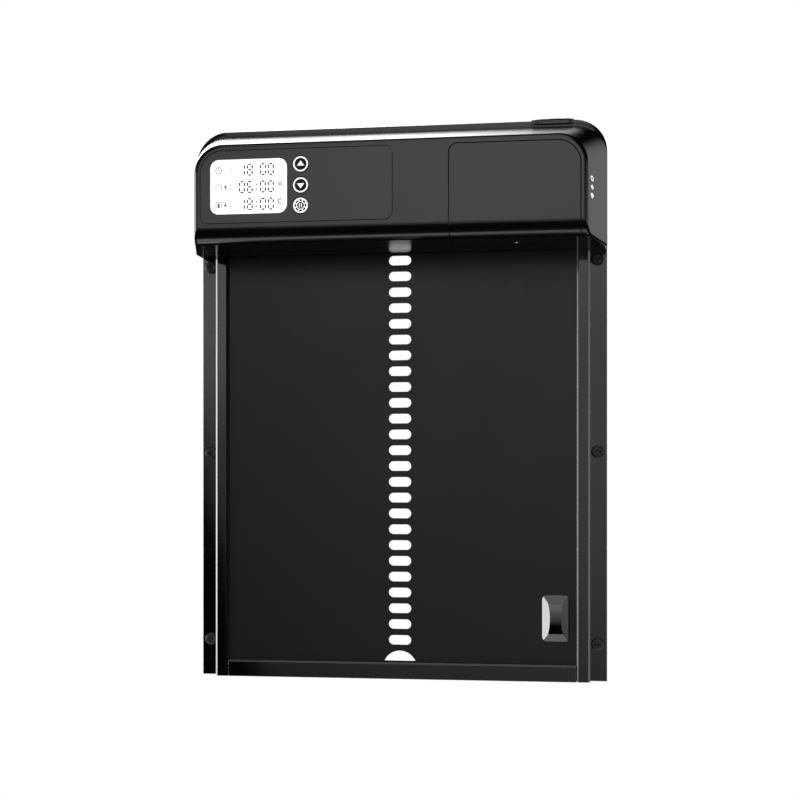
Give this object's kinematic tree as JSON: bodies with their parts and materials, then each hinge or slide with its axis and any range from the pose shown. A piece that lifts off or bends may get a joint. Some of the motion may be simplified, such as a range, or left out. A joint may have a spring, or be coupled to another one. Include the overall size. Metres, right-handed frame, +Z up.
{
  "type": "automatic coop door",
  "caption": "Wall-mounted automatic coop door: a drive housing with display and buttons over two rails, in which a slotted metal door slides up and down.",
  "frame": {"origin": "centre of the sill's back face, on the wall plane", "axes": "+Z up along the door's travel, +Y into the wall, +X to the right seen from the front"},
  "size_m": [0.27, 0.0653, 0.3639],
  "materials": {
    "case_plastic": "satin black ABS, fine texture",
    "gloss_plastic": "gloss black",
    "door_paint": "satin black powder coat on aluminium",
    "rail_paint": "semi-gloss black coat on aluminium",
    "black_steel": "black oxide",
    "bright_steel": "plain zinc",
    "nylon": "natural nylon",
    "rubber": "matte black",
    "display_white": "backlit white display",
    "board_green": "green solder mask",
    "cell_sleeve": "printed battery sleeve",
    "bronze": "sintered bronze"
  },
  "bodies": {
    "frame": {"back_plate": "rail_paint", "battery_cell_1": "cell_sleeve", "battery_cell_2": "cell_sleeve", "battery_cell_3": "cell_sleeve", "battery_cell_4": "cell_sleeve", "battery_cover_seal": "rubber", "battery_lead": "rubber", "battery_tray": "case_plastic", "bracket_screw_1": "black_steel", "bracket_screw_2": "black_steel", "case_screw_1": "black_steel", "case_screw_2": "black_steel", "case_screw_3": "black_steel", "case_screw_4": "black_steel", "case_seal": "rubber", "charging_port": "bright_steel", "contact_plate_bottom": "bright_steel", "contact_plate_top": "bright_steel", "control_panel": "gloss_plastic", "display_module": "display_white", "front_case": "case_plastic", "gear_head": "bright_steel", "glide_liner_left": "nylon", "glide_liner_right": "nylon", "housing_screw_1": "black_steel", "housing_screw_2": "black_steel", "housing_screw_3": "black_steel", "housing_screw_4": "black_steel", "main_board": "board_green", "motor_bracket": "bright_steel", "motor_can": "bright_steel", "motor_lead": "rubber", "plate_screw_1": "black_steel", "plate_screw_2": "black_steel", "rail_left": "rail_paint", "rail_right": "rail_paint", "rail_screw_1": "black_steel", "rail_screw_2": "black_steel", "rail_screw_3": "black_steel", "rail_screw_4": "black_steel", "rail_screw_5": "black_steel", "rail_screw_6": "black_steel", "rear_case": "case_plastic", "shaft_bush": "bronze", "sill": "rail_paint", "sill_bumper": "rubber", "sill_screw_1": "black_steel", "sill_screw_2": "black_steel"},
    "door": {"door_panel": "door_paint", "door_handle": "gloss_plastic", "handle_screw_1": "black_steel", "handle_screw_2": "black_steel"},
    "drive": {"drive_gear": "nylon", "drive_shaft": "bright_steel"},
    "up_key": {"button_up": "gloss_plastic"},
    "down_key": {"button_down": "gloss_plastic"},
    "set_key": {"button_set": "gloss_plastic"},
    "cover": {"battery_cover": "case_plastic", "battery_cover_screw": "black_steel"},
    "plug": {"port_plug": "rubber"}
  },
  "joints": [
    {"name": "door_slide", "type": "slide", "parent": "frame", "child": "door", "axis": [0, 0, 1], "range_m": [0, 0.21861]},
    {"name": "drive_gear_spin", "type": "hinge", "parent": "frame", "child": "drive", "pos_m": [0, -0.01925, 0.30095], "axis": [1, 0, 0], "range_deg": [0, 945.5]},
    {"name": "up_button_press", "type": "slide", "parent": "frame", "child": "up_key", "axis": [0, 1, 0], "range_m": [0, 0.0006], "stiffness_N_per_m": 1500, "springref_m": -0.0003},
    {"name": "down_button_press", "type": "slide", "parent": "frame", "child": "down_key", "axis": [0, 1, 0], "range_m": [0, 0.0006], "stiffness_N_per_m": 1500, "springref_m": -0.0003},
    {"name": "set_button_press", "type": "slide", "parent": "frame", "child": "set_key", "axis": [0, 1, 0], "range_m": [0, 0.0006], "stiffness_N_per_m": 1500, "springref_m": -0.0003},
    {"name": "battery_cover_slide", "type": "slide", "parent": "frame", "child": "cover", "axis": [0, 0, -1], "range_m": [0, 0.06]},
    {"name": "port_plug_pull", "type": "slide", "parent": "frame", "child": "plug", "axis": [0, 0, 1], "range_m": [0, 0.012]}
  ],
  "couplings": [
    {"joint": "drive_gear_spin", "follows": "door_slide", "rad_per_m": 75.447}
  ]
}
